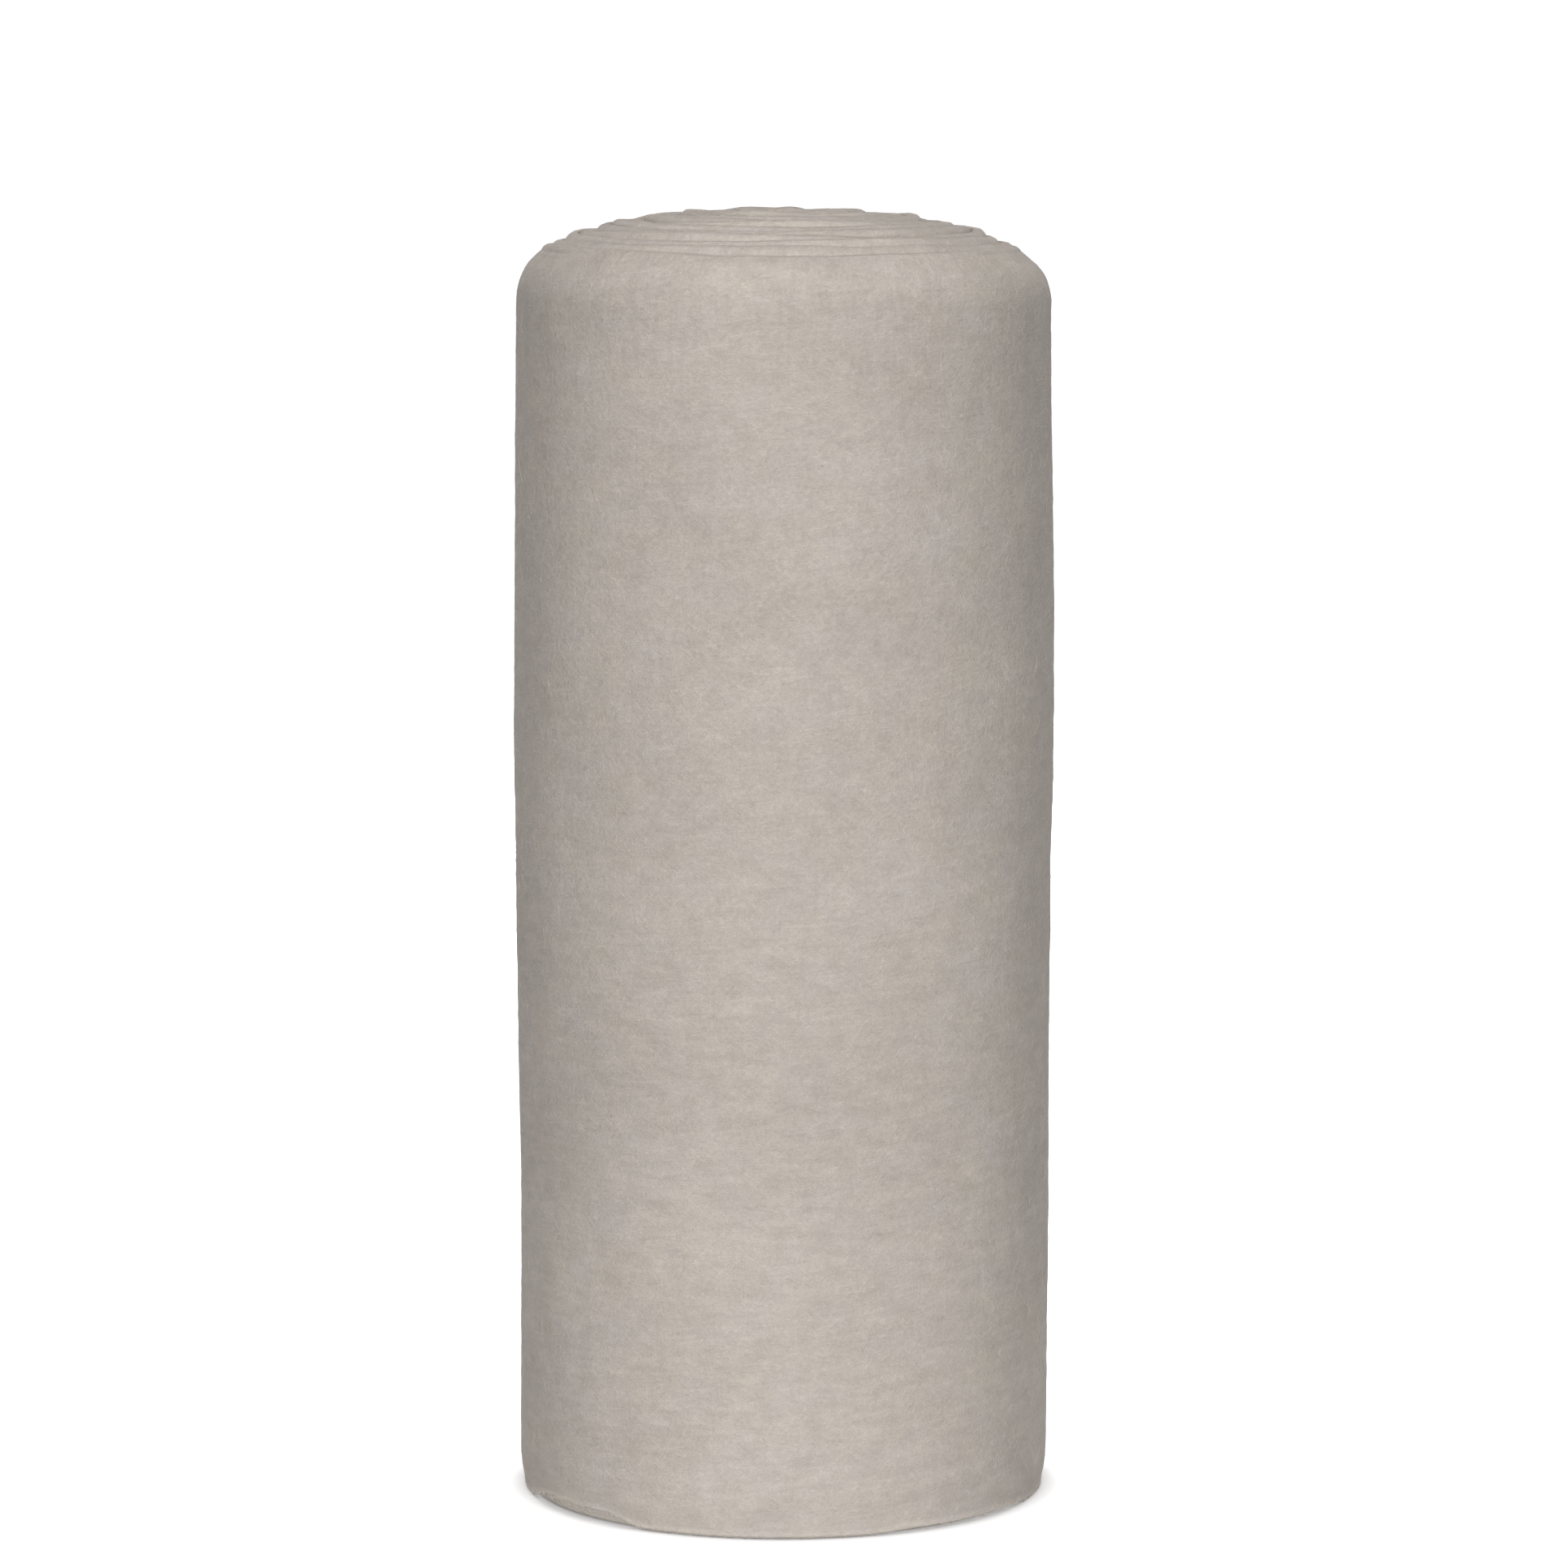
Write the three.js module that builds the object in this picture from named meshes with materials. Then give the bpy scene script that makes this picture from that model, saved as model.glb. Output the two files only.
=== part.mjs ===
// A roll of quilt batting, stood on end. One length of needled cotton batting is folded in four
// across its width, and the folded strip is wound up on itself, with no core. Folded edges make
// the domed top, and the cut edges stand on the floor. The strip's outer end lies down the back
// of the roll. Millimetres, +Z up, origin on the floor under the middle of the roll.

import * as THREE from "three";
import { mergeGeometries, mergeVertices } from "three/addons/utils/BufferGeometryUtils.js";

// The batting as it is cut, and how it is folded and wound
const BATTING_WIDTH = 2286;
const BATTING_LENGTH = 5486;
const PLIES = 4;
const PLY_THICKNESS = 2;
const EYE_RADIUS = 6;
const OUTER_END_ANGLE = THREE.MathUtils.degToRad(112);

// The domed top: how far the outside turns are drawn in and down
const MEAN_RADIUS = 118;
const DOME_DEPTH = 41;
const DOME_RADIUS = 119;
const DOME_POWER = 2.45;
const TOP_DRAWN_IN = 0.1;
const TOP_DRAWN_POWER = 3;
const SHOULDER_START = THREE.MathUtils.degToRad(25);
const TOP_CREASE = 3;

// The base: its turns stand on flat crowns, and the outside turn is drawn in above the floor
const BASE_CREASE = 2;
const BASE_ROUND = 20;
const BASE_DRAWN_IN = 0.7;

// The hollow eye at each end, and the strip's two ends
const EYE_DEPTH = 24;
const EYE_TAPER = 0.7;
const EYE_OFFSET = 1.5;
const END_THINNING = 0.28;
const END_THINNING_ANGLE = THREE.MathUtils.degToRad(18);

// The turns don't finish level with each other: waves round the roll and outward, in mm and radians
const TURN_WAVES = [
  { size: 0.66, around: 2, outward: 0.35, start: 0 },
  { size: 0.44, around: 3, outward: -0.21, start: 1 },
];

// The side isn't a true cylinder: it swells above the middle, and it is a little lumpy
const SIDE_SWELL = 1.5;
const SWELL_POWER = 1.9;
const SIDE_WAVES = [
  { size: 0.5, around: 3, upward: 5, start: 0 },
  { size: 0.5, around: 5, upward: -8, start: 2 },
];

// How finely the form is divided
const STEPS_A_TURN = 48;
const STEPS_ACROSS = 3;
const SHOULDER_ROWS = 4;
const WALL_ROWS = 6;
const BASE_ROWS = 3;
const EYE_ROWS = 2;
const MERGE_DISTANCE = 0.001;

const COTTON = new THREE.Color(0xd0c6bb);

// What follows from those sizes
const height = BATTING_WIDTH / PLIES;
const pitch = PLIES * PLY_THICKNESS;
const shoulderHeight = height - DOME_DEPTH;
const turnRiseLimit = TURN_WAVES.reduce((sum, wave) => sum + wave.size, 0);
const steps = Math.round(turnsFor(BATTING_LENGTH) * STEPS_A_TURN);
const lastTurn = steps - STEPS_A_TURN;
const startAngle = OUTER_END_ANGLE - (2 * Math.PI * steps) / STEPS_A_TURN;
const loopSteps = STEPS_A_TURN + STEPS_ACROSS;
const sideRows = SHOULDER_ROWS + WALL_ROWS + BASE_ROWS;

// The number of turns that a strip of this length makes round the eye.
function turnsFor(length) {
  const growth = Math.PI * pitch;
  const firstTurn = 2 * Math.PI * (EYE_RADIUS + pitch / 2);
  return (Math.sqrt(firstTurn ** 2 + 4 * growth * length) - firstTurn) / (2 * growth);
}

function at(radius, angle, z) {
  return new THREE.Vector3(radius * Math.cos(angle), radius * Math.sin(angle), z);
}

function angleAt(step) {
  return startAngle + (2 * Math.PI * step) / STEPS_A_TURN;
}

// The radius in the straight part of the roll, at a step along the strip and a share of the way
// across its thickness. The last few centimetres are pressed thinner.
function radiusAt(step, share) {
  const toEnd = (2 * Math.PI * (steps - step)) / STEPS_A_TURN;
  const pressed = 1 - THREE.MathUtils.smoothstep(toEnd, 0, END_THINNING_ANGLE);
  const across = share * (1 - END_THINNING * pressed);
  return EYE_RADIUS + pitch * (step / STEPS_A_TURN + across);
}

// A turn's folded edge is a crown between two creases.
function isCrease(share) {
  return share === 0 || share === 1;
}

function domeDrop(radius) {
  const out = Math.min(radius / DOME_RADIUS, 1) ** DOME_POWER;
  return DOME_DEPTH * (1 - (1 - out) ** (1 / DOME_POWER));
}

function turnRise(radius, angle) {
  return TURN_WAVES.reduce((sum, { size, around, outward, start }) => {
    return sum + size * Math.sin(around * angle + outward * radius + start);
  }, 0);
}

function topPoint(step, share) {
  const radius = radiusAt(step, share);
  const drawnIn = radius * (1 - TOP_DRAWN_IN * (radius / MEAN_RADIUS) ** TOP_DRAWN_POWER);
  const angle = angleAt(step);
  const crown = height - turnRiseLimit - domeDrop(drawnIn) + turnRise(radius, angle);
  return at(drawnIn, angle, crown - (isCrease(share) ? TOP_CREASE : 0));
}

function basePoint(step, share) {
  const outside = step > lastTurn;
  const radius = radiusAt(step, outside ? share * (1 - BASE_DRAWN_IN) : share);
  const z = isCrease(share) && !(outside && share === 1) ? BASE_CREASE : 0;
  return at(radius, angleAt(step), z);
}

function sideSwell(angle, z) {
  const up = z / shoulderHeight;
  const swell = SIDE_SWELL * Math.sin(Math.PI * up ** SWELL_POWER) ** 2;
  const lumps = SIDE_WAVES.reduce((sum, { size, around, upward, start }) => {
    return sum + size * Math.sin(around * angle + upward * up + start);
  }, 0);
  return swell + lumps * Math.sin(Math.PI * up);
}

// The outline that the side hangs from: one turn of the strip's outer face, then back across the
// thickness of its end. Each place on it is a step along the strip and a share of the way across.
function outerLoop(k) {
  return k <= STEPS_A_TURN
    ? { step: lastTurn + k, share: 1 }
    : { step: steps, share: 1 - (k - STEPS_A_TURN) / STEPS_ACROSS };
}

// The outline of the eye: one turn of the strip's inner face, then back across its start.
function innerLoop(k) {
  return k <= STEPS_A_TURN
    ? { step: k, share: 0 }
    : { step: 0, share: 1 - (k - STEPS_A_TURN) / STEPS_ACROSS };
}

// The side, from the top edge over the rounded shoulder, down the wall and in to the base.
function sidePoint(k, row) {
  const { step, share } = outerLoop(k);
  const radius = radiusAt(step, share);
  const angle = angleAt(step);
  if (row < SHOULDER_ROWS) {
    const top = topPoint(step, share);
    const turned = THREE.MathUtils.lerp(SHOULDER_START, Math.PI / 2, row / SHOULDER_ROWS);
    const drawnIn = radius - Math.hypot(top.x, top.y);
    const out = (1 - Math.sin(turned)) / (1 - Math.sin(SHOULDER_START));
    const up = Math.cos(turned) / Math.cos(SHOULDER_START);
    return at(radius - drawnIn * out, angle, shoulderHeight + (top.z - shoulderHeight) * up);
  }
  if (row <= SHOULDER_ROWS + WALL_ROWS) {
    const down = (row - SHOULDER_ROWS) / WALL_ROWS;
    const z = THREE.MathUtils.lerp(shoulderHeight, BASE_ROUND, down);
    return at(radius + sideSwell(angle, z), angle, z);
  }
  const base = basePoint(step, share);
  const turned = (Math.PI / 2) * ((sideRows - row) / BASE_ROWS);
  const rounded = THREE.MathUtils.lerp(Math.hypot(base.x, base.y), radius, Math.sin(turned));
  return at(rounded, angle, THREE.MathUtils.lerp(base.z, BASE_ROUND, 1 - Math.cos(turned)));
}

// The eye at one end of the roll: a tapered hollow, from its rim to a closed bottom.
function eyePoint(k, row, rimPoint, depth) {
  const { step, share } = innerLoop(k);
  const rim = rimPoint(step, share);
  if (row === 0) return rim;
  if (row === 1) return new THREE.Vector3(rim.x * EYE_TAPER, rim.y * EYE_TAPER, rim.z + depth);
  return at(EYE_OFFSET, startAngle + Math.PI / 2, rimPoint(0, 1 / STEPS_ACROSS).z + depth);
}

// A plane divided into columns and rows, with each of its points moved to its place.
function surface(columns, rows, place, turnedOver = false) {
  const plane = new THREE.PlaneGeometry(1, 1, columns, rows);
  const points = plane.getAttribute("position");
  for (let row = 0; row <= rows; row += 1) {
    for (let column = 0; column <= columns; column += 1) {
      const { x, y, z } = place(column, row);
      points.setXYZ(row * (columns + 1) + column, x, y, z);
    }
  }
  if (turnedOver) plane.setIndex([...plane.getIndex().array].reverse());
  return plane;
}

// Joins surfaces along the points that they share, and leaves out faces with no area.
function joined(surfaces) {
  const all = mergeGeometries(surfaces);
  all.deleteAttribute("normal");
  all.deleteAttribute("uv");
  const merged = mergeVertices(all, MERGE_DISTANCE);
  const corners = merged.getIndex().array;
  const kept = [];
  for (let i = 0; i < corners.length; i += 3) {
    const [a, b, c] = corners.slice(i, i + 3);
    if (a !== b && b !== c && c !== a) kept.push(a, b, c);
  }
  merged.setIndex(kept);
  return merged;
}

function woundRoll() {
  const across = (j) => j / STEPS_ACROSS;
  const roll = joined([
    surface(steps, STEPS_ACROSS, (i, j) => topPoint(i, across(j))),
    surface(steps, STEPS_ACROSS, (i, j) => basePoint(i, across(j)), true),
    surface(loopSteps, sideRows, sidePoint),
    surface(loopSteps, EYE_ROWS, (k, row) => eyePoint(k, row, topPoint, -EYE_DEPTH), true),
    surface(loopSteps, EYE_ROWS, (k, row) => eyePoint(k, row, basePoint, EYE_DEPTH)),
  ]);
  roll.computeBoundingBox();
  const middle = roll.boundingBox.getCenter(new THREE.Vector3());
  roll.translate(-middle.x, -middle.y, 0);
  roll.computeVertexNormals();
  return roll;
}

const batting = new THREE.MeshStandardMaterial({ color: COTTON, roughness: 1, metalness: 0 });
const roll = new THREE.Mesh(woundRoll(), batting);
roll.name = "batting_roll";

const part = new THREE.Group();
part.name = "quilt_batting_roll";
part.add(roll);

export default part;
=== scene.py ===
import bmesh
import bpy
import math
import random
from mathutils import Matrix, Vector, noise


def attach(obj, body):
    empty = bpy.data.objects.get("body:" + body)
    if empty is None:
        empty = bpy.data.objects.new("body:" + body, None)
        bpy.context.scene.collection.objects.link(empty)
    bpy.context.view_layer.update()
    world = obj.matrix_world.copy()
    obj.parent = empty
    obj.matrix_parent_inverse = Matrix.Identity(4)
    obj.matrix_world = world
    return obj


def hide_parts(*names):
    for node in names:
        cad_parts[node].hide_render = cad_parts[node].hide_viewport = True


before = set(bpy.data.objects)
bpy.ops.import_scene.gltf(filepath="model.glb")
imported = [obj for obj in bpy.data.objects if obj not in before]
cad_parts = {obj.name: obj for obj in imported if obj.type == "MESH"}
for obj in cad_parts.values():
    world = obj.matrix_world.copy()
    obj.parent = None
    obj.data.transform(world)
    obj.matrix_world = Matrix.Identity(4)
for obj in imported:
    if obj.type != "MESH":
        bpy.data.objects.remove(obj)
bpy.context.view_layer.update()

# Sizes are in millimetres and angles in degrees, unless a note says otherwise.
# Each finished piece is scaled to metres.
perMetre = 1000  # millimetres
white = (1, 1, 1, 1)

camera = {
    "imageSize": 1932,
    "focalPixels": 7958,
    "sensorWidth": 36.0,
    "distance": 2.8566,  # metres, in front of the origin
    "height": 0.6449,  # metres
    "tiltDown": 6.57,
    "clip": (0.05, 100),  # metres
}

softboxes = {  # places and sizes in metres
    "front": {"at": (0.0, -3.4, 0.75), "aim": (0, 0, 0.3), "size": 1.1, "watts": 89},
    "above": {"at": (0.0, -0.4, 2.4), "aim": (0, 0, 0.4), "size": 1.4, "watts": 21},
    "behindLeft": {"at": (-1.4, 2.85, 0.75), "aim": (0, 0, 0.2), "size": 0.9, "watts": 46},
    "behindRight": {"at": (1.4, 2.85, 0.75), "aim": (0, 0, 0.2), "size": 0.9, "watts": 46},
    "offTheFloor": {"at": (0.0, 0.0, 0.0003), "aim": (0, 0, 1), "size": 1.1, "watts": 1.45},
}
room = {
    "light": 0.12,
    "backdrop": 1.05,
    "floorTone": (0.8, 0.8, 0.8, 1),
    "floorSize": 40,  # metres
    "floorGlowAndPaintedShadow": (0.25, 1.0),  # dimmed under the roll as a painted shadow, and full away from it
    "paintedShadowRadius": (0.112, 0.138),  # metres, over which the painted shadow fades out
}


def placeCamera():
    data = bpy.data.cameras.new("photoCamera")
    data.sensor_width = camera["sensorWidth"]
    data.lens = camera["focalPixels"] * camera["sensorWidth"] / camera["imageSize"]
    data.clip_start, data.clip_end = camera["clip"]
    cam = bpy.data.objects.new("photoCamera", data)
    cam.location = (0, -camera["distance"], camera["height"])
    cam.rotation_euler = (math.radians(90 - camera["tiltDown"]), 0, 0)
    bpy.context.collection.objects.link(cam)
    bpy.context.scene.camera = cam


def placeSoftbox(name):
    box = softboxes[name]
    data = bpy.data.lights.new(name + "Softbox", "AREA")
    data.shape = "SQUARE"
    data.size = box["size"]
    data.energy = box["watts"]
    lamp = bpy.data.objects.new(name + "Softbox", data)
    lamp.location = box["at"]
    aim = Vector(box["aim"]) - Vector(box["at"])
    lamp.rotation_euler = aim.to_track_quat("-Z", "Y").to_euler()
    lamp.visible_camera = False
    bpy.context.collection.objects.link(lamp)


def lightRoom():
    for name in softboxes:
        placeSoftbox(name)
    # The backdrop is plain white, and gives the roll less light than it shows
    world = bpy.data.worlds.new("paleRoom")
    bpy.context.scene.world = world
    world.use_nodes = True
    nodes, links = world.node_tree.nodes, world.node_tree.links
    lit, seen = nodes["Background"], nodes.new("ShaderNodeBackground")
    for background, strength in ((lit, room["light"]), (seen, room["backdrop"])):
        background.inputs["Color"].default_value = white
        background.inputs["Strength"].default_value = strength
    rays, mix = nodes.new("ShaderNodeLightPath"), nodes.new("ShaderNodeMixShader")
    links.new(rays.outputs["Is Camera Ray"], mix.inputs["Fac"])
    links.new(lit.outputs["Background"], mix.inputs[1])
    links.new(seen.outputs["Background"], mix.inputs[2])
    links.new(mix.outputs["Shader"], nodes["World Output"].inputs["Surface"])


def newMaterial(name, finish):
    material = bpy.data.materials.new(name)
    material.use_nodes = True
    shader = material.node_tree.nodes["Principled BSDF"]
    for socket, value in finish.items():
        shader.inputs[socket].default_value = value
    return material, shader


def ranged(material, value, fromRange, toRange, kind="LINEAR"):
    mapped = material.node_tree.nodes.new("ShaderNodeMapRange")
    mapped.interpolation_type = kind
    sockets = ("From Min", "From Max", "To Min", "To Max")
    for socket, number in zip(sockets, (*fromRange, *toRange)):
        mapped.inputs[socket].default_value = number
    material.node_tree.links.new(value, mapped.inputs["Value"])
    return mapped.outputs["Result"]


# A colour between two. Each of the two is fixed, or comes from another node.
def mixedColour(material, factor, first, second):
    mix = material.node_tree.nodes.new("ShaderNodeMix")
    mix.data_type = "RGBA"
    for socket, colour in (("A", first), ("B", second)):
        if isinstance(colour, tuple):
            mix.inputs[socket].default_value = colour
        else:
            material.node_tree.links.new(colour, mix.inputs[socket])
    material.node_tree.links.new(factor, mix.inputs["Factor"])
    return mix.outputs["Result"]


def layFloor():
    material, shader = newMaterial("paleFloor", {
        "Base Color": room["floorTone"], "Roughness": 1,
        "Specular IOR Level": 0, "Emission Color": white,
    })
    nodes, links = material.node_tree.nodes, material.node_tree.links
    # The floor glows white, and the glow is dimmed round the foot of the roll as a painted soft
    # shadow
    place, away = nodes.new("ShaderNodeTexCoord"), nodes.new("ShaderNodeVectorMath")
    away.operation = "LENGTH"
    links.new(place.outputs["Object"], away.inputs[0])
    radius = away.outputs["Value"]
    glowWithPaintedShadow = ranged(material, radius, room["paintedShadowRadius"], room["floorGlowAndPaintedShadow"], "SMOOTHSTEP")
    links.new(glowWithPaintedShadow, shader.inputs["Emission Strength"])
    mesh = bpy.data.meshes.new("floor")
    bm = bmesh.new()
    bmesh.ops.create_grid(bm, x_segments=1, y_segments=1, size=room["floorSize"])
    bm.to_mesh(mesh)
    bm.free()
    mesh.materials.append(material)
    floor = bpy.data.objects.new("floor", mesh)
    floor.visible_diffuse = False
    bpy.context.collection.objects.link(floor)


placeCamera()
lightRoom()
layFloor()
bpy.context.scene.view_settings.view_transform = "Standard"
print("camera, softboxes and floor are in place")


# How the batting is folded in four across its width, and wound up on itself.
# A pair of turns counts from the end of the last turn, to where something begins and is full.
roll = {
    "battingWidth": 2286.0,
    "battingLength": 5486.0,
    "plies": 4,
    "plyThickness": 2.0,
    "plyGap": 0.1,
    "eyeRadius": 6.0,
    "looseEndAt": 112.0,  # anticlockwise from +X
    "axisAt": (-2.04, -2.01),
    "meanRadius": 118.0,
    # The domed top, where the outside turns are drawn in and down
    "domeDepth": 41.0,
    "domeRadius": 119.0,
    "domePower": 2.45,
    "drawnIn": 0.1,
    "drawnPower": 3,
    "shoulderStart": 25.0,
    "squeezedFrom": 470.0,
    "foldRound": 3.0,
    "foldSpace": 0.6,  # between the outer fold and the one inside it
    "crownRise": 0.5,
    "crownSlant": 0.7,  # how far each crown leans with the dome
    "crownWander": 0.6,
    "slack": 0.5,
    "slackBelow": (22.0, 3.0),  # where it begins and is full, down from the top
    "slackSpacing": (26.0, 30.0),  # along the strip and up it
    # The base, where the outside turn is drawn in above the floor
    "baseRound": 20.0,
    "baseDrawnIn": 5.6,
    "baseTurns": (-2.0, 0.6),
    "rawRound": 0.6,
    "rawEdgeTaper": 22.0,
    "splay": 1.1,  # how far the lowest few millimetres of the outer ply spread outward
    "splayAtStep": -0.2,  # but less, for each millimetre that it stands above the next ply
    "splayHeight": 5.5,
    "splayTurns": (0.0, 0.1),
    # The side is a little lumpy
    "swell": 1.5,
    "swellPower": 1.9,
    "sideTurns": (-3.0, 0.0),
    "lumps": 0.45,
    "relief": 1.0,
    "reliefDepth": (1.5, 0.5),  # where it begins and is full, in from the outer face
    "reliefFade": (2.0, 14.0),  # and away from where two strips meet
}
looseEnd = {  # pressed thinner, and cut a little unevenly, with plies that stand off the roll
    "thinning": 0.28,
    "thinningLength": 38.0,
    "stagger": 1.6,
    "staggerWave": (2.4, 0.6),  # radians from ply to ply, and at the start
    "uneven": 1.5,
    "unevenLength": 26.0,
    "unevenWave": (7.3, 38.0, 3),  # change from ply to ply, spacing up the strip, noise row
    "fraying": 0.5,  # a share of the unevenness
    "frayingWave": (1.1, 8.0, 8),
    "lift": 1.1,
    "liftShares": (0.3, 0.7, 0.5),  # for all, outward through the plies, and unevenly
    "liftWave": (0.6, 50.0, 5),
}
turnWaves = [  # how far the turns stand above and below each other
    {"size": 0.66, "around": 2, "outward": 0.35, "start": 0},
    {"size": 0.44, "around": 3, "outward": -0.21, "start": 1},
]
sideWaves = [
    {"size": 0.5, "around": 3, "upward": 5, "start": 0},
    {"size": 0.5, "around": 5, "upward": -8, "start": 2},
]
sideLumps = [  # shares of the lumps
    {"size": 1.0, "around": 1.3, "upward": 85.0},
    {"size": 0.55, "around": 4.0, "upward": 30.0},
]
sideRelief = [
    {"size": 0.16, "around": 14.0, "upward": 8.5},
    {"size": 0.12, "around": 4.0, "upward": 6.0},
    {"size": 0.07, "around": 32.0, "upward": 4.2},
]
crownWaves = [  # shares of the crowns' wander along the strip
    {"size": 1.0, "spacing": 37.0, "noiseRow": 5},
    {"size": 0.5, "spacing": 14.0, "noiseRow": 9},
]
rawEdges = [  # how high each ply's lower edge stands, from the ply nearest the axis outward
    {"wander": 0.3, "noiseRow": 0, "stepped": 0},
    {"wander": 0.3, "noiseRow": 0, "stepped": 0},
    {"wander": 0.3, "noiseRow": 22, "stepped": 0.05},
    {"wander": 0.35, "noiseRow": 33, "stepped": 1},
]
rawWave = {"size": 0.8, "spacing": 21.0, "noiseRow": 0}  # a share of each edge's wander
rawFraying = [
    {"size": 0.5, "spacing": 4.1, "noiseRow": 4},
    {"size": 0.6, "spacing": 1.6, "noiseRow": 6},
]
rawSteps = [  # where the outer ply ends above the next ply
    {"at": -143.0, "halfWidth": 24.0, "size": 5.6},
    {"at": -45.0, "halfWidth": 27.0, "size": 1.7},
    {"at": 38.0, "halfWidth": 34.0, "size": 2.2},
]
stepSlope = 13.0  # the angle over which a step rises
stepFraying = 0.3  # how far the edge frays more on a step
steppedFrom = -0.2  # turns, from the end of the last turn
stripHeight = roll["battingWidth"] / roll["plies"]
pitch = roll["plies"] * roll["plyThickness"]
shoulderHeight = stripHeight - roll["domeDepth"]
riseLimit = sum(wave["size"] for wave in turnWaves)
shoulderSine = math.sin(math.radians(roll["shoulderStart"]))
shoulderCosine = math.cos(math.radians(roll["shoulderStart"]))


def smoothStep(value, low, high):
    share = min(max((value - low) / (high - low), 0), 1)
    return share * share * (3 - 2 * share)


def softNoise(x, y, z):
    return noise.noise(Vector((x, y, z)))


def turnsFor(length):
    growth = math.pi * pitch
    firstTurn = 2 * math.pi * (roll["eyeRadius"] + pitch / 2)
    return (math.sqrt(firstTurn ** 2 + 4 * growth * length) - firstTurn) / (2 * growth)


totalTurns = turnsFor(roll["battingLength"])


# How far a place shares in what only the outermost turns do.
def outerShare(outward, counts):
    return smoothStep(outward, totalTurns + counts[0], totalTurns + counts[1])


def domeDrop(radius):
    out = min(radius / roll["domeRadius"], 1) ** roll["domePower"]
    return roll["domeDepth"] * (1 - (1 - out) ** (1 / roll["domePower"]))


def topDrawnIn(radius):
    return radius * roll["drawnIn"] * (radius / roll["meanRadius"]) ** roll["drawnPower"]


def topHeight(radius, angle):
    rise = sum(
        wave["size"] * math.sin(wave["around"] * angle + wave["outward"] * radius + wave["start"])
        for wave in turnWaves
    )
    return stripHeight - riseLimit - domeDrop(radius - topDrawnIn(radius)) + rise


def sideSwell(angle, height):
    up = min(max(height / shoulderHeight, 0), 1)
    swell = roll["swell"] * math.sin(math.pi * up ** roll["swellPower"]) ** 2
    waves = sum(
        wave["size"] * math.sin(wave["around"] * angle + wave["upward"] * up + wave["start"])
        for wave in sideWaves
    )
    return swell + waves * math.sin(math.pi * up)


def plyAt(across):
    return min(max(int(across / roll["plyThickness"]), 0), roll["plies"] - 1)


def stepHeight(angle):
    height = 0
    for step in rawSteps:
        away = abs((math.degrees(angle) - step["at"] + 180) % 360 - 180)
        height += step["size"] * smoothStep(step["halfWidth"] - away, 0, stepSlope)
    return height


def rawEdgeRise(length, ply, outside, angle):
    edge = rawEdges[ply]
    row = edge["noiseRow"]

    def along(wave):
        return wave["size"] * softNoise(length / wave["spacing"], row, wave["noiseRow"])

    frayed = sum(along(wave) for wave in rawFraying)
    wander = 1 + along(rawWave) + frayed
    stepped = edge["stepped"] * (stepHeight(angle) + stepFraying * frayed) * outside
    return edge["wander"] * wander + stepped


# How far each ply's cut end runs past the mean, and how far it stands off the roll.
def looseEndShape(ply, across, height):
    def waved(name, place):
        change, spacing, row = looseEnd[name]
        return softNoise(place * change, height / spacing, row)

    change, start = looseEnd["staggerWave"]
    past = looseEnd["stagger"] * math.sin(change * ply + start)
    past += looseEnd["uneven"] * waved("unevenWave", ply)
    past += looseEnd["uneven"] * looseEnd["fraying"] * waved("frayingWave", across)
    forAll, outward, uneven = looseEnd["liftShares"]
    lift = forAll + outward * across / pitch + uneven * waved("liftWave", ply)
    return past, looseEnd["lift"] * lift


# The folded edge is squeezed down to the dome.
def squeezedHeight(length, turn, radius, angle, height):
    middle = roll["eyeRadius"] + pitch * (turn + 0.5)
    wander = sum(
        wave["size"] * softNoise(length / wave["spacing"], wave["noiseRow"], turn)
        for wave in crownWaves
    )
    crown = topHeight(middle + roll["crownSlant"] * (radius - middle), angle)
    crown += roll["crownRise"] + roll["crownWander"] * wander
    share = (height - roll["squeezedFrom"]) / (stripHeight - roll["squeezedFrom"])
    return roll["squeezedFrom"] + share * (crown - roll["squeezedFrom"])


# Towards the top, the turns are a little slack.
def slackAt(length, turn, height):
    begins, full = roll["slackBelow"]
    slack = smoothStep(height, stripHeight - begins, stripHeight - full)
    along, upward = roll["slackSpacing"]
    return slack * roll["slack"] * softNoise(length / along, height / upward, 2 * turn)


def shoulderDrawnIn(radius, angle, z):
    top = topHeight(radius, angle)
    up = min(max((z - shoulderHeight) / (top - shoulderHeight), 0), 1)
    inward = (1 - math.sqrt(1 - (up * shoulderCosine) ** 2)) / (1 - shoulderSine)
    return topDrawnIn(radius) * inward


def footDrawnIn(outward, z):
    if z >= roll["baseRound"]:
        return 0
    rounded = 1 - math.sqrt(1 - (1 - max(z, 0) / roll["baseRound"]) ** 2)
    return roll["baseDrawnIn"] * rounded * outerShare(outward, roll["baseTurns"])


def splayAt(ply, outward, angle, height):
    if height >= roll["splayHeight"] or ply < roll["plies"] - 1:
        return 0
    splay = roll["splay"] + roll["splayAtStep"] * stepHeight(angle)
    splay *= 1 - smoothStep(height, 0, roll["splayHeight"])
    return splay * outerShare(outward, roll["splayTurns"])


# Soft noise round the roll and up it.
def faceNoise(waves, angle, z):
    x, y = math.cos(angle), math.sin(angle)
    return sum(
        wave["size"] * softNoise(x * wave["around"], y * wave["around"], z / wave["upward"])
        for wave in waves
    )


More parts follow.
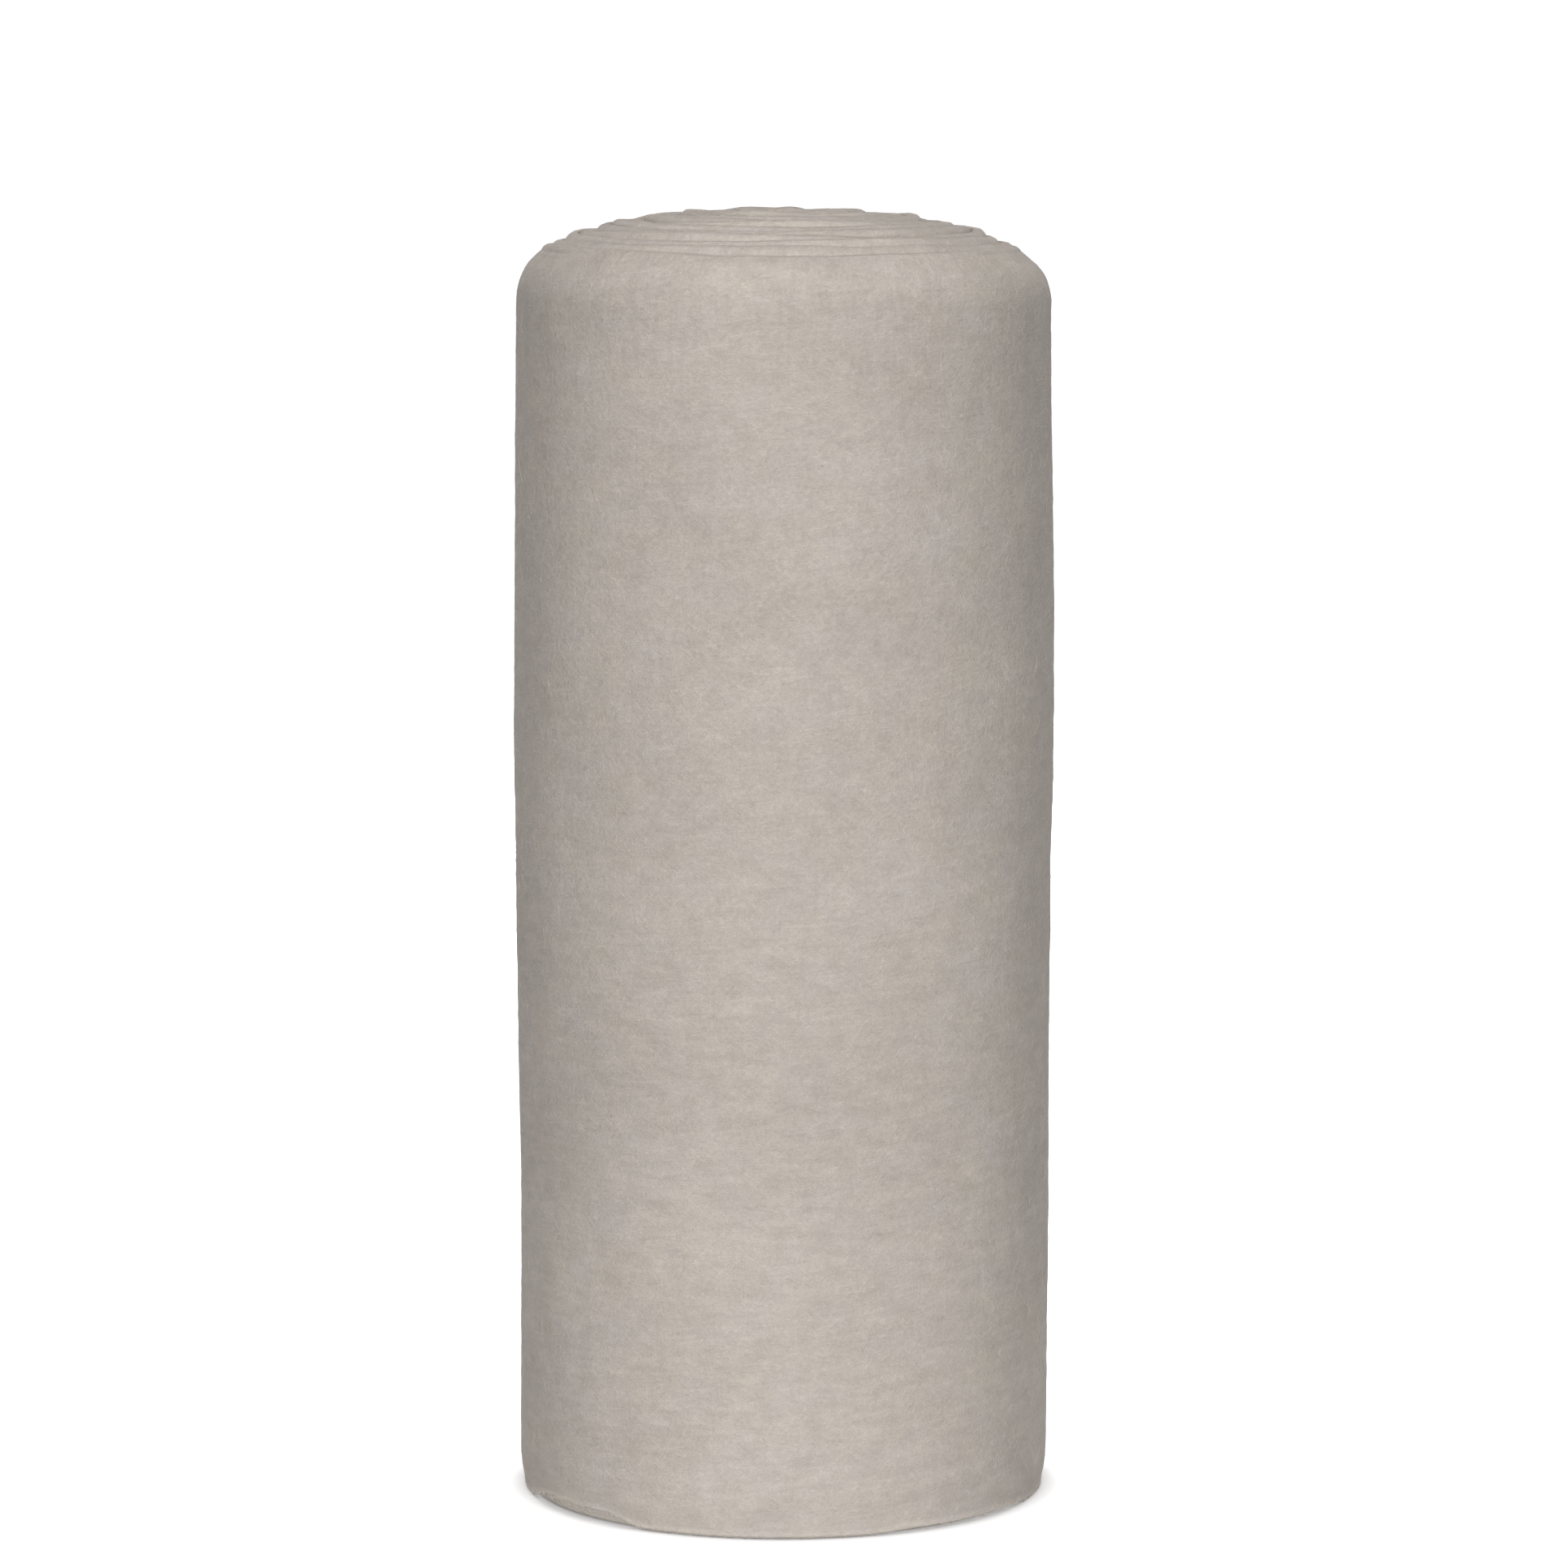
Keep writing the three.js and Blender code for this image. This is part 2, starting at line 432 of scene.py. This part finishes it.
# From a place in the flat folded strip to its place in the roll. A fibre keeps to one ply.
def windUp(length, across, height, relief=0, ply=None):
    if ply is None:
        ply = plyAt(across)
    toEnd = roll["battingLength"] - length
    nearEnd = 1 - smoothStep(toEnd, 0, looseEnd["unevenLength"])
    lift = 0
    if nearEnd > 0:
        past, lift = looseEndShape(ply, across, height)
        length += past * nearEnd
    turn = turnsFor(length)
    angle = math.radians(roll["looseEndAt"]) - 2 * math.pi * (totalTurns - turn)
    pressed = 1 - smoothStep(toEnd, 0, looseEnd["thinningLength"])
    radius = roll["eyeRadius"] + pitch * turn + across * (1 - looseEnd["thinning"] * pressed)
    outward = (radius - roll["eyeRadius"]) / pitch
    outside = outerShare(outward, roll["sideTurns"])
    z = height
    if height > roll["squeezedFrom"]:
        z = squeezedHeight(length, turn, radius, angle, height)
        radius += slackAt(length, turn, height)
    if height < roll["rawEdgeTaper"]:
        lower = outside * (outward > totalTurns + steppedFrom)
        z += rawEdgeRise(length, ply, lower, angle) * (1 - height / roll["rawEdgeTaper"])
    # The side is drawn in over the shoulder and at the floor, and swells a little between
    drawn = shoulderDrawnIn(radius, angle, z) + footDrawnIn(outward, z)
    drawn -= splayAt(ply, outward, angle, height)
    radius += sideSwell(angle, z) * outside - drawn + lift * nearEnd ** 2
    if outside > 0:
        radius += outside * roll["lumps"] * faceNoise(sideLumps, angle, z)
    if relief > 0:
        radius += relief * roll["relief"] * faceNoise(sideRelief, angle, z)
    axisX, axisY = roll["axisAt"]
    return axisX + radius * math.cos(angle), axisY + radius * math.sin(angle), z


weldDistance = 0.001
outerFaceDepth = 0.2  # how deep the edges that count as the outer face may lie


def edgesAlong(bm, axis, least):
    return [
        edge for edge in bm.edges
        if abs(edge.verts[0].co[axis] - edge.verts[1].co[axis]) > least
    ]


# The strip's section: across 0 faces the roll's axis, and across 8 faces out.
def foldedSection(bm, rows, outsideRows):
    gap = roll["plyGap"] / 2
    ply = roll["plyThickness"]
    edge = [ply * i for i in range(roll["plies"] + 1)]
    innerTop = stripHeight - ply - roll["foldSpace"]
    archTop = stripHeight - ply + gap
    crotch = ply + roll["plyGap"]
    corners = [  # across, height, rounding
        (edge[4] - gap, 0, "raw"),
        (edge[4] - gap, stripHeight, "outerFold"),
        (edge[0] + gap, stripHeight, "outerFold"),
        (edge[0] + gap, 0, "lowerFold"),
        (edge[2] - gap, 0, "lowerFold"),
        (edge[2] - gap, innerTop - ply, ""),
        (edge[2] + gap, innerTop - ply, ""),
        (edge[2] + gap, 0, "raw"),
        (edge[3] - gap, 0, "raw"),
        (edge[3] - gap, innerTop, "innerFold"),
        (edge[1] + gap, innerTop, "innerFold"),
        (edge[1] + gap, crotch, ""),
        (edge[1] - gap, crotch, ""),
        (edge[1] - gap, archTop, "archFold"),
        (edge[3] + gap, archTop, "archFold"),
        (edge[3] + gap, 0, "raw"),
    ]
    roundings = {  # radius and segments
        "outerFold": (roll["foldRound"], 6),
        "innerFold": (ply - 2 * gap, 3),
        "archFold": (ply, 3),
        "lowerFold": (ply - 2 * gap, 4),
        "raw": (roll["rawRound"], 2),
    }
    verts = [bm.verts.new((0, across, height)) for across, height, kind in corners]
    for here, after in zip(verts, verts[1:] + verts[:1]):
        bm.edges.new((here, after))
    for kind, (size, segments) in roundings.items():
        chosen = [vert for vert, corner in zip(verts, corners) if corner[2] == kind]
        bmesh.ops.bevel(
            bm, geom=chosen, offset=size, offset_type="OFFSET", affect="VERTICES",
            segments=segments, profile=0.5, material=-1, clamp_overlap=False,
        )
    for height in rows:
        bmesh.ops.bisect_plane(
            bm, geom=list(bm.verts) + list(bm.edges),
            plane_co=(0, 0, height), plane_no=(0, 0, 1), dist=weldDistance,
        )
    for height in outsideRows:
        outside = [
            edge for edge in bm.edges
            if min(vert.co.y for vert in edge.verts) > pitch - outerFaceDepth
        ]
        ends = {vert for edge in outside for vert in edge.verts}
        bmesh.ops.bisect_plane(
            bm, geom=list(ends) + outside,
            plane_co=(0, 0, height), plane_no=(0, 0, 1), dist=weldDistance,
        )


# The section is drawn out along x to a length of 1, closed at both ends, and divided.
def stretchStrip(bm, columns):
    bmesh.ops.spin(
        bm, geom=list(bm.verts) + list(bm.edges), cent=(0, 0, 0), axis=(1, 0, 0),
        dvec=(1, 0, 0), angle=0, steps=1, use_duplicate=False,
    )
    for end in (0, 1):
        ring = [
            edge for edge in bm.edges
            if edge.is_boundary and all(abs(vert.co.x - end) < 0.5 for vert in edge.verts)
        ]
        bmesh.ops.triangle_fill(
            bm, use_beauty=True, use_dissolve=False, edges=ring, normal=(1, 0, 0),
        )
        for edge in ring:
            edge.smooth = False  # the cut end meets the faces at a sharp edge
    lengthwise = edgesAlong(bm, 0, 0.5)
    bmesh.ops.subdivide_edges(bm, edges=lengthwise, cuts=columns - 1, use_grid_fill=False)


def finishPiece(bm, name, material):
    bmesh.ops.scale(bm, vec=[1 / perMetre] * 3, verts=bm.verts)
    bmesh.ops.recalc_face_normals(bm, faces=bm.faces)
    for face in bm.faces:
        face.smooth = True
    mesh = bpy.data.meshes.new(name)
    bm.to_mesh(mesh)
    bm.free()
    mesh.materials.append(material)
    piece = bpy.data.objects.new(name, mesh)
    bpy.context.collection.objects.link(piece)
    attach(piece, "root")
    print(name, "has", sum(len(face.vertices) - 2 for face in mesh.polygons), "triangles")
    return piece


# The cotton's sizes are in metres, and its noise scales are waves in a metre.
cotton = {
    "pale": (0.655, 0.593, 0.525, 1),
    "rosy": (0.65, 0.589, 0.549, 1),
    "deep": (0.40, 0.356, 0.318, 1),
    "fleck": (0.16, 0.11, 0.07, 1),
    "tone": 0.42,  # from deep to pale, before the layers move it
    "tint": {"scale": 48, "detail": 2, "roughness": 0.5},
    "tintRange": (0.35, 0.65),  # of the noise, from pale to rosy
    "layerRange": (0.3, 0.7),
    "bump": 0.75,
    "bumpDepth": 0.0009,
    "grainInBump": 0.4,
    "finish": {
        "Roughness": 1, "Specular IOR Level": 0.1,
        "Sheen Weight": 0.05, "Sheen Roughness": 0.6,
    },
}
layers = {  # how far each moves the tone, its noise, and its shares below and above some heights
    "clouds": {"tone": 0.10, "noise": {"scale": 13, "detail": 3, "roughness": 0.5}},
    "mottle": {"tone": 0.18, "noise": {"scale": 95, "detail": 6, "roughness": 0.82}},
    "nubs": {
        "tone": 0.09, "noise": {"scale": 430, "detail": 2, "roughness": 0.6},
        "heights": (0.15, 0.4), "shares": (0.25, 1),
    },
    "grain": {"tone": 0.12, "noise": {"scale": 1100, "detail": 3, "roughness": 0.75}},
    "streaks": {
        "tone": 0.11, "noise": {"scale": 1, "detail": 4, "roughness": 0.6},
        "size": (0.019, 0.0038, 0.006), "heights": (0.15, 0.42), "shares": (1, 0.35),
    },
    "combing": {
        "tone": 0.06, "noise": {"scale": 1, "detail": 3, "roughness": 0.6},
        "size": (0.003, 0.022, 0.006), "heights": (0.44, 0.54), "shares": (0, 1),
    },
}
wispTone = 0.11
wispNoise = {"scale": 1, "detail": 2, "roughness": 0.55, "distortion": 0.9}
wisps = [  # tangled fibres in the surface: which way they run, and how long and wide they are
    {"turned": 8, "size": (0.022, 0.0026, 0.004), "line": 0.05, "share": 1.0},
    {"turned": -38, "size": (0.014, 0.0018, 0.003), "line": 0.06, "share": 0.8},
    {"turned": 52, "size": (0.012, 0.0016, 0.003), "line": 0.06, "share": 0.8},
    {"turned": 95, "size": (0.010, 0.0014, 0.003), "line": 0.07, "share": 0.6},
]
specks = {  # the size is in cells, and the share is how many cells have one
    "neps": {"strength": 0.3, "scale": 110, "size": 0.14, "share": 0.3},
    "flecks": {"strength": 0.8, "scale": 75, "size": 0.05, "share": 0.05},
}
rawEdgePaleAndPaintedShade = {  # the outer ply's raw edge is paler, partly for its loose fibres and partly as painted light, and the plies behind it get painted shade there
    "tone": 0.45,
    "heights": (0.001, 0.0045),
    "across": (0.0055, 0.0062),
    "shares": (-1.2, 1),
}


def needledCotton():
    material, shader = newMaterial("needledCotton", cotton["finish"])
    nodes, links = material.node_tree.nodes, material.node_tree.links
    # The pattern follows the strip: along it, up it, and through its thickness
    strip, parts = nodes.new("ShaderNodeAttribute"), nodes.new("ShaderNodeSeparateXYZ")
    strip.attribute_name = "strip"
    place = strip.outputs["Vector"]
    links.new(place, parts.inputs["Vector"])
    up, across = parts.outputs["Y"], parts.outputs["Z"]

    def grained(size, turned=0):
        mapping = nodes.new("ShaderNodeMapping")
        mapping.vector_type = "TEXTURE"
        mapping.inputs["Scale"].default_value = size
        mapping.inputs["Rotation"].default_value = (0, 0, math.radians(turned))
        links.new(place, mapping.inputs["Vector"])
        return mapping.outputs["Vector"]

    def noiseAt(vector, scale, detail, roughness, distortion=0):
        texture = nodes.new("ShaderNodeTexNoise")
        texture.inputs["Scale"].default_value = scale
        texture.inputs["Detail"].default_value = detail
        texture.inputs["Roughness"].default_value = roughness
        texture.inputs["Distortion"].default_value = distortion
        links.new(vector, texture.inputs["Vector"])
        return texture.outputs["Fac"]

    def combined(operation, first, second):
        maths = nodes.new("ShaderNodeMath")
        maths.operation = operation
        for socket, value in zip(maths.inputs, (first, second)):
            if isinstance(value, (int, float)):
                socket.default_value = value
            else:
                links.new(value, socket)
        return maths.outputs["Value"]

    def layered(first, *others):
        for other in others:
            first = combined("ADD", first, other)
        return first

    def layer(kind):
        vector = grained(kind["size"]) if "size" in kind else place
        value = noiseAt(vector, **kind["noise"])
        value = ranged(material, value, cotton["layerRange"], (-kind["tone"], kind["tone"]))
        if "heights" in kind:
            share = ranged(material, up, kind["heights"], kind["shares"], "SMOOTHSTEP")
            value = combined("MULTIPLY", value, share)
        return value

    # Soft round spots in a share of the cells, each of its own size
    def spots(kind):
        cells, colours = nodes.new("ShaderNodeTexVoronoi"), nodes.new("ShaderNodeSeparateColor")
        cells.inputs["Scale"].default_value = kind["scale"]
        links.new(place, cells.inputs["Vector"])
        links.new(cells.outputs["Color"], colours.inputs["Color"])
        kept = combined("LESS_THAN", colours.outputs["Red"], kind["share"])
        sizes = (kind["size"] / 2, kind["size"])
        width = ranged(material, colours.outputs["Green"], (0, 1), sizes)
        near = combined("SUBTRACT", 1, combined("DIVIDE", cells.outputs["Distance"], width))
        spot = combined("MULTIPLY", kept, combined("MAXIMUM", near, 0))
        return combined("MULTIPLY", spot, kind["strength"])

    # A thin line runs wherever a stretched and distorted noise passes its middle
    def wisp(kind):
        wavy = noiseAt(grained(kind["size"], kind["turned"]), **wispNoise)
        away = combined("ABSOLUTE", combined("SUBTRACT", wavy, 0.5), 0)
        tones = (wispTone * kind["share"], 0)
        return ranged(material, away, (0, kind["line"]), tones, "SMOOTHSTEP")

    clouds, mottle, nubs, grain, streaks, combing = [layer(kind) for kind in layers.values()]
    tangle = layered(*[wisp(kind) for kind in wisps])
    neps, flecks = spots(specks["neps"]), spots(specks["flecks"])
    # Along the lower edges the outer ply is paler, partly loose fibres and partly painted light,
    # and the plies behind it are darkened as painted shade
    edgePaleAndShaded = ranged(material, up, rawEdgePaleAndPaintedShade["heights"], (rawEdgePaleAndPaintedShade["tone"], 0), "SMOOTHSTEP")
    outerPaleInnerShaded = ranged(material, across, rawEdgePaleAndPaintedShade["across"], rawEdgePaleAndPaintedShade["shares"])
    edgePaleAndShaded = combined("MULTIPLY", edgePaleAndShaded, outerPaleInnerShaded)

    tint = ranged(material, noiseAt(place, **cotton["tint"]), cotton["tintRange"], (0, 1))
    pale = mixedColour(material, tint, cotton["pale"], cotton["rosy"])
    tone = layered(clouds, mottle, nubs, grain, streaks, combing, tangle, neps, edgePaleAndShaded)
    shade = mixedColour(material, combined("ADD", tone, cotton["tone"]), cotton["deep"], pale)
    flecked = mixedColour(material, flecks, shade, cotton["fleck"])
    links.new(flecked, shader.inputs["Base Color"])

    bump = nodes.new("ShaderNodeBump")
    bump.inputs["Strength"].default_value = cotton["bump"]
    bump.inputs["Distance"].default_value = cotton["bumpDepth"]
    lowGrain = combined("MULTIPLY", grain, cotton["grainInBump"])
    relief = layered(mottle, nubs, lowGrain, streaks, combing, tangle, neps)
    links.new(relief, bump.inputs["Height"])
    links.new(bump.outputs["Normal"], shader.inputs["Normal"])
    return material


hair = {
    "pale": (0.80, 0.745, 0.68, 1),
    "deep": (0.66, 0.60, 0.54, 1),
    "patches": 60,  # waves in a metre
    "finish": {"Roughness": 0.9, "Specular IOR Level": 0.2},
    "sunk": 0.06,  # its ends, below the face
    "aboveFloor": 0.06,
    "overFold": 1.4,  # radians, how far round a fold it may run
}


def cottonHair():
    material, shader = newMaterial("cottonHair", hair["finish"])
    nodes, links = material.node_tree.nodes, material.node_tree.links
    place, patches = nodes.new("ShaderNodeTexCoord"), nodes.new("ShaderNodeTexNoise")
    patches.inputs["Scale"].default_value = hair["patches"]
    links.new(place.outputs["Object"], patches.inputs["Vector"])
    shade = mixedColour(material, patches.outputs["Fac"], hair["deep"], hair["pale"])
    links.new(shade, shader.inputs["Base Color"])
    return material


batting = needledCotton()
looseHair = cottonHair()
print("the cotton is mixed")


rowSpacing = 3.1
rowAtRawEdge = 1.5
clearOfFold = 5  # the close rows end this far below the top
closeRows = [
    rowSpacing * (i + 1) for i in range(int((stripHeight - clearOfFold) / rowSpacing))
]
strips = {  # closeness above 1 puts the columns closer together towards the strip's start
    "inner_turns": {
        "columns": 700, "closeness": 1.4, "rows": [20, 300, 500, 530, 548], "faceRows": [],
    },
    "outer_turn": {
        "columns": 252, "closeness": 1, "rows": [8, 20, 300, 500, 520, 534, 545, 556],
        "faceRows": [rowAtRawEdge] + closeRows, "turns": 1.15,
    },
    "loose_end": {
        "columns": 20, "closeness": 1, "rows": closeRows, "faceRows": [], "length": 60.0,
    },
}


def lengthAtTurn(target):
    low, high = 0, roll["battingLength"]
    for halving in range(50):
        middle = (low + high) / 2
        low, high = (middle, high) if turnsFor(middle) < target else (low, middle)
    return low


# The outer ply's lower edge is divided more closely, because it is ragged.
def divideRawEdge(bm):
    halfColumn = 0.5 / strips["outer_turn"]["columns"]
    lower = [
        edge for edge in edgesAlong(bm, 0, halfColumn)
        if max(vert.co.z for vert in edge.verts) < 1.5 * rowSpacing
        and min(vert.co.y for vert in edge.verts) > pitch - roll["plyThickness"]
    ]
    bmesh.ops.subdivide_edges(bm, edges=lower, cuts=2, use_grid_fill=False)


# The low relief is on the outer face, and fades where two strips meet.
def reliefAt(length, across):
    toJoin = min(abs(length - join) for join in (outerStart, endStart))
    begins, full = roll["reliefDepth"]
    onFace = smoothStep(across, pitch - begins, pitch - full)
    return onFace * smoothStep(toJoin, *roll["reliefFade"])


def windStrip(name, fromLength, toLength):
    strip = strips[name]
    bm = bmesh.new()
    foldedSection(bm, strip["rows"], strip["faceRows"])
    stretchStrip(bm, strip["columns"])
    if name == "outer_turn":
        divideRawEdge(bm)
    flatPlace = bm.verts.layers.float_vector.new("strip")
    for vert in bm.verts:
        along, across, height = vert.co
        length = fromLength + (toLength - fromLength) * along ** strip["closeness"]
        vert[flatPlace] = (length / perMetre, height / perMetre, across / perMetre)
        relief = reliefAt(length, across) if name != "inner_turns" else 0
        vert.co = windUp(length, across, height, relief)
    piece = finishPiece(bm, name, batting)
    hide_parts("batting_roll")
    return piece


hairs = {  # each piece has 4096 hairs
    "surface_hairs": {
        "doublings": 12, "segments": 5, "thickness": 0.08, "seed": 7,
        "length": (3.5, 13), "bend": 2.2, "arch": (0.03, 0.4),
        "shares": {"side": 0.74, "crowns": 0.26},
    },
    "edge_hairs": {
        "doublings": 12, "segments": 4, "thickness": 0.08, "seed": 11,
        "length": (1.2, 5), "bend": 2.0, "arch": (0.05, 0.7),
        "shares": {"lowerEdge": 0.55, "looseEnd": 0.45},
    },
}
hairPlaces = {  # in the flat strip, with the spread of the hairs' headings in radians
    "side": {"height": (10, stripHeight - 12), "spread": 0.75},
    "crowns": {"fromLength": 60, "height": (-3, 3), "shortened": 0.55},  # from the fold's middle
    "lowerEdge": {"height": (0.1, 2), "spread": 0.9},
    "looseEnd": {
        "toEnd": (0, 1), "height": (1, stripHeight - 4), "across": (0.3, pitch), "spread": 0.9,
    },
}


# Each hair starts at a place in the flat strip, and runs off in its own direction.
def hairStarts(tuft):
    random.seed(tuft["seed"])
    lastTurnFrom = lengthAtTurn(totalTurns - 1)
    side = hairPlaces["side"]
    shares = tuft["shares"]
    kinds = random.choices(list(shares), list(shares.values()), k=2 ** tuft["doublings"])
    starts = []
    for kind in kinds:
        place = hairPlaces[kind]
        start = {
            "kind": kind,
            "length": random.uniform(lastTurnFrom, roll["battingLength"]),
            "height": random.uniform(*side["height"]),
            "across": pitch,
            "heading": random.gauss(0, side["spread"]) + random.choice((0, math.pi)),
            "bend": random.uniform(-1, 1) * tuft["bend"],
            "reach": random.uniform(*tuft["length"]),
            "arch": random.uniform(*tuft["arch"]),
        }
        if kind == "crowns":
            start["length"] = random.uniform(place["fromLength"], roll["battingLength"])
            start["height"] = random.uniform(*place["height"])
            start["reach"] *= place["shortened"]
        if kind == "lowerEdge":
            start["height"] = random.uniform(*place["height"])
            start["heading"] = random.gauss(-math.pi / 2, place["spread"])
        if kind == "looseEnd":
            start["length"] = roll["battingLength"] - random.uniform(*place["toEnd"])
            start["height"] = random.uniform(*place["height"])
            start["across"] = random.uniform(*place["across"])
            start["heading"] = random.gauss(0, place["spread"])
        starts.append(start)
    return starts


def layHair(start, along, sideways, outward):
    heading = start["heading"] + start["bend"] * along / 2
    reach = start["reach"] * along
    arch = 4 * start["arch"] * along * (1 - along) - hair["sunk"] + outward
    length = start["length"] + reach * math.cos(heading) - sideways * math.sin(heading)
    height = start["height"] + reach * math.sin(heading) + sideways * math.cos(heading)
    if start["kind"] == "crowns":
        fold = roll["foldRound"]
        flat = (pitch - roll["plyGap"]) / 2 - fold
        over = min(max(abs(height) - flat, 0) / fold, hair["overFold"])
        across = min(abs(height), flat) + (fold + arch) * math.sin(over)
        across = pitch / 2 + math.copysign(across, height)
        return windUp(length, across, stripHeight - fold + (fold + arch) * math.cos(over))
    x, y, z = windUp(length, start["across"] + arch, height, 1, plyAt(start["across"]))
    return x, y, max(z, hair["aboveFloor"] + outward)  # none goes into the floor


def scatterHairs(name):
    tuft = hairs[name]
    radius = tuft["thickness"] / 2
    bm = bmesh.new()
    bmesh.ops.create_cone(
        bm, cap_ends=True, cap_tris=True, segments=3, depth=1, radius1=radius, radius2=radius,
    )
    lengthwise = edgesAlong(bm, 2, 0.5)
    bmesh.ops.subdivide_edges(bm, edges=lengthwise, cuts=tuft["segments"] - 1, use_grid_fill=False)
    # The copies stand in a row, 1 apart, and then each is laid in its own place
    for doubling in range(tuft["doublings"]):
        copy = bmesh.ops.duplicate(bm, geom=list(bm.verts) + list(bm.edges) + list(bm.faces))
        verts = [item for item in copy["geom"] if isinstance(item, bmesh.types.BMVert)]
        bmesh.ops.translate(bm, vec=(2 ** doubling, 0, 0), verts=verts)
    starts = hairStarts(tuft)
    for vert in bm.verts:
        number = round(vert.co.x)
        vert.co = layHair(starts[number], vert.co.z + 0.5, vert.co.x - number, vert.co.y)
    return finishPiece(bm, name, looseHair)


outerStart = lengthAtTurn(totalTurns - strips["outer_turn"]["turns"])
endStart = roll["battingLength"] - strips["loose_end"]["length"]
inner = windStrip("inner_turns", 0, outerStart)
outer = windStrip("outer_turn", outerStart, endStart)
end = windStrip("loose_end", endStart, roll["battingLength"])
print("the strip is wound")
laid = [scatterHairs(name) for name in hairs]
print("the hairs are laid, and the batting is declared")
